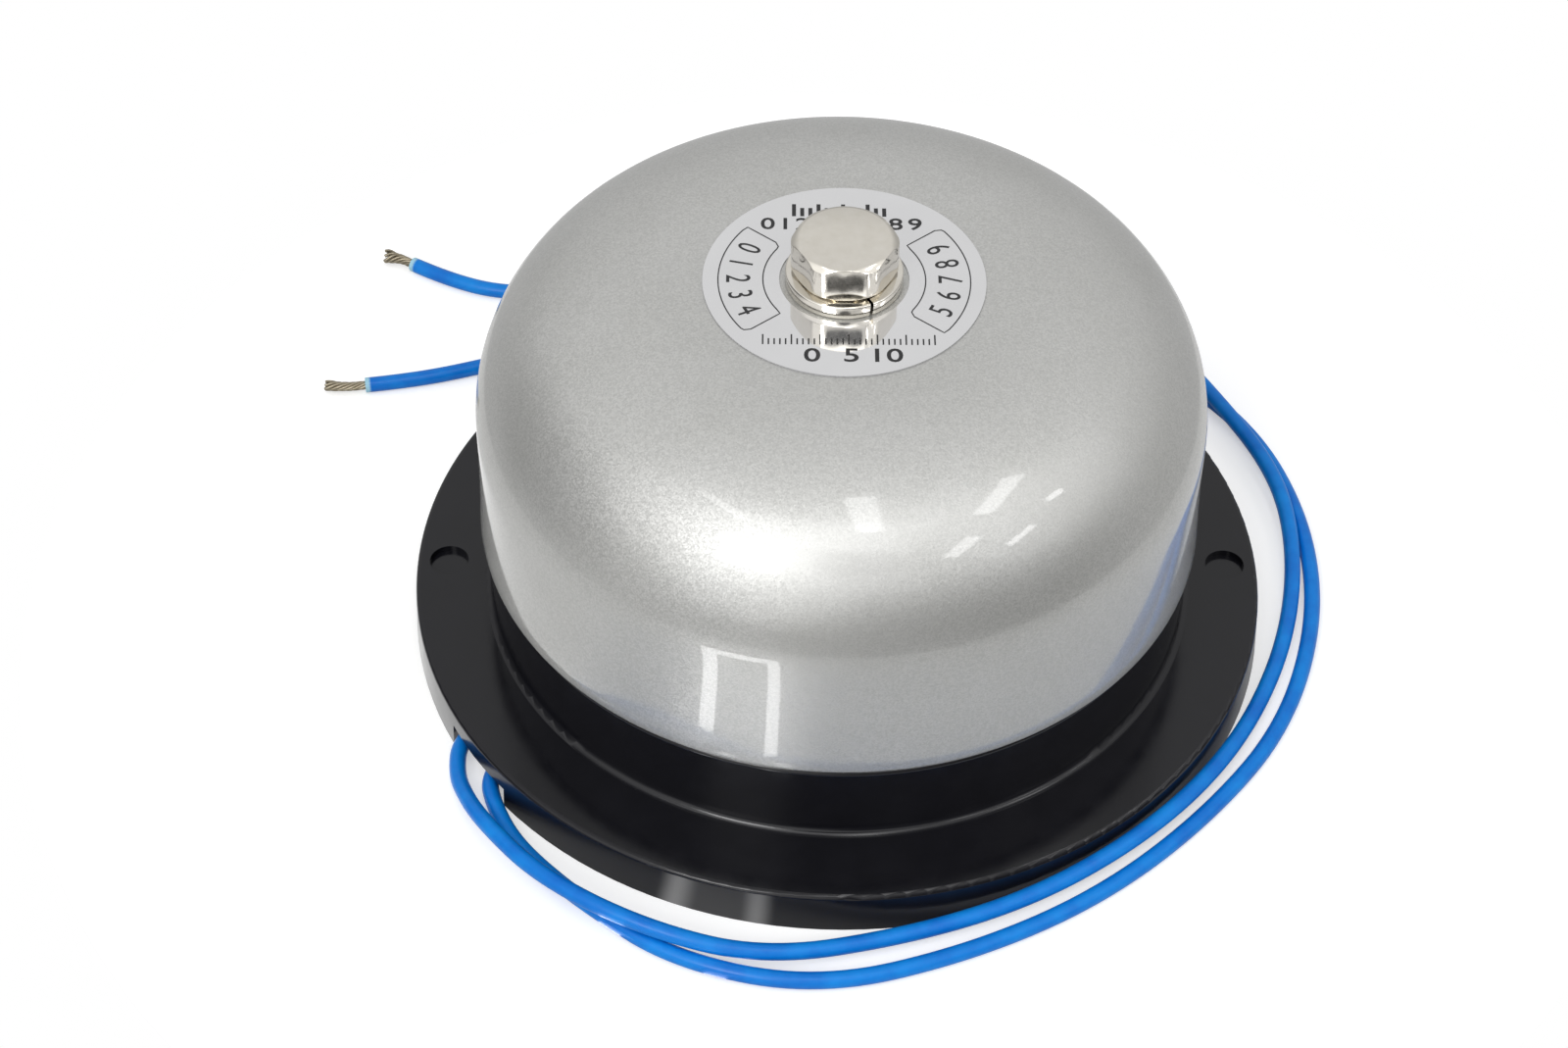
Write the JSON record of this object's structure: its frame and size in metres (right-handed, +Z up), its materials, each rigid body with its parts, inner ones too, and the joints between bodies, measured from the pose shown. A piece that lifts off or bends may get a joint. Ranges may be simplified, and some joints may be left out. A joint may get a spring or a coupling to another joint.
{
  "type": "electric trembler bell",
  "caption": "Round electric bell: silver gong on a bolt over a black moulded base with flange, trembler mechanism inside and two blue flying leads.",
  "frame": {"origin": "centre of the base's resting face, on the axis of the gong and its post", "axes": "+Z up along the gong's axis; the two mounting holes lie on X; the leads leave the rim at the left front, -X -Y; front is -Y"},
  "size_m": [0.1151, 0.1122, 0.0521],
  "materials": {
    "black_moulding": "moulded, semi-gloss",
    "cover_plastic": "moulded, fine matt texture",
    "silver_paint": "fine metallic silver paint, satin",
    "label_film": "printed white film, glossy",
    "zinc_steel": "bright zinc plate",
    "frame_steel": "zinc plate, pale yellow passivation",
    "spring_steel": "bright drawn wire",
    "soft_iron": "annealed, nickel-plated",
    "turned_brass": "turned, bright",
    "spring_bronze": "rolled phosphor bronze",
    "contact_silver": "fine silver",
    "vulcan_fibre": "red vulcanised fibre",
    "laminate": "paper laminate, brown",
    "bobbin_nylon": "natural nylon",
    "enamelled_copper": "enamelled copper wire, close wound",
    "coil_tape": "amber polyester tape",
    "solder": "soft solder, bright",
    "resistor_coat": "lacquered, colour bands",
    "hookup_sleeve": "red PVC sleeve",
    "clamp_plastic": "black nylon",
    "blue_pvc": "blue PVC insulation, soft gloss",
    "tinned_copper": "tinned copper strands, twisted"
  },
  "bodies": {
    "bell": {"base_housing": "black_moulding", "bottom_cover": "cover_plastic", "cover_screws": "zinc_steel", "gong": "silver_paint", "gong_label": "label_film", "spring_washer": "zinc_steel", "gong_bolt": "zinc_steel", "gong_post": "frame_steel", "gong_seat_washer": "vulcan_fibre", "post_washer": "zinc_steel", "post_nut": "zinc_steel", "yoke_frame": "frame_steel", "pivot_bracket": "frame_steel", "pivot_pin": "spring_steel", "frame_screws": "zinc_steel", "bracket_screws": "zinc_steel", "frame_lug": "tinned_copper", "coil_core": "soft_iron", "core_screw": "zinc_steel", "coil_bobbin": "bobbin_nylon", "coil_winding": "enamelled_copper", "coil_tape": "coil_tape", "spring_post": "turned_brass", "return_spring": "spring_steel", "contact_tip": "contact_silver", "contact_screw": "turned_brass", "contact_lock_nut": "turned_brass", "contact_stand": "turned_brass", "contact_insulator": "laminate", "contact_bushes": "laminate", "stand_screws": "zinc_steel", "terminal_strip": "laminate", "terminal_tags": "tinned_copper", "strip_screw": "zinc_steel", "solder_joints": "solder", "quench_resistor": "resistor_coat", "lead_clamp": "clamp_plastic", "clamp_screw": "zinc_steel", "coil_leads": "hookup_sleeve", "contact_lead": "hookup_sleeve", "lead_wire_a": "blue_pvc", "lead_wire_b": "blue_pvc", "lead_end_a": "tinned_copper", "lead_end_b": "tinned_copper"},
    "striker": {"armature": "soft_iron", "residual_stud": "turned_brass", "hammer_rod": "spring_steel", "hammer_head": "turned_brass", "contact_leaf": "spring_bronze", "leaf_rivets": "turned_brass", "moving_contact": "contact_silver"}
  },
  "joints": [
    {"name": "armature_swing", "type": "hinge", "parent": "bell", "child": "striker", "pos_m": [0.0239, -0.001, 0.0252], "axis": [0, 0, 1], "range_deg": [0, 4.5], "stiffness_Nm_per_rad": 0.064, "springref_deg": -2.86, "deforming": ["return_spring"]}
  ]
}
